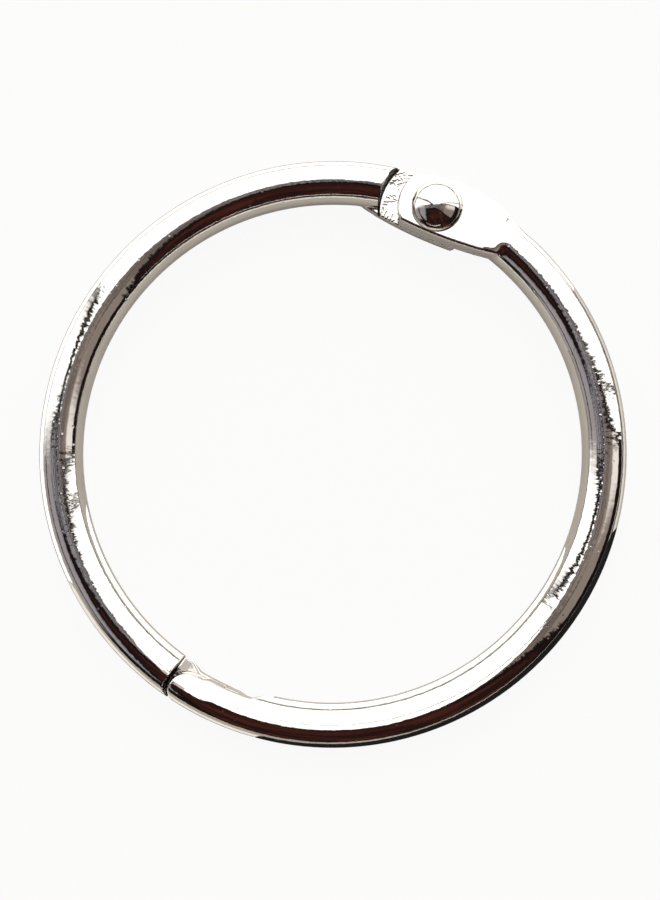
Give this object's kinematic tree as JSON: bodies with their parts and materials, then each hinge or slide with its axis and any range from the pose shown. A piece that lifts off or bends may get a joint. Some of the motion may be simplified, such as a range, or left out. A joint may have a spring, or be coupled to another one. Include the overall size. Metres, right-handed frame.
{
  "type": "hinged binder ring",
  "caption": "Round hinged wire ring that opens at a riveted hinge and snaps shut at a hooked latch to hold punched sheets together.",
  "frame": {"origin": "centre of the closed ring, on the mid-plane of the wire", "axes": "+Z along the ring's axis, toward the side with the rivet's domed head; +Y from the centre to the rivet, so the latch is on -Y; the half that opens is on +X"},
  "size_m": [0.0446, 0.0448, 0.0052],
  "materials": {
    "left_wire": "bright nickel plate over steel wire, with fine draw marks and small nicks",
    "right_wire": "bright nickel plate over steel wire, with fine draw marks and small nicks",
    "rivet": "bright nickel plate, faintly uneven where the head was struck"
  },
  "bodies": {
    "left_half": {"left_half_ring": "left_wire", "hinge_rivet": "rivet"},
    "right_half": {"right_half_ring": "right_wire"}
  },
  "joints": [
    {"name": "ring_hinge", "type": "hinge", "parent": "left_half", "child": "right_half", "pos_m": [0, 0.02005, 0], "axis": [0, 0, 1], "range_deg": [0, 120]}
  ]
}
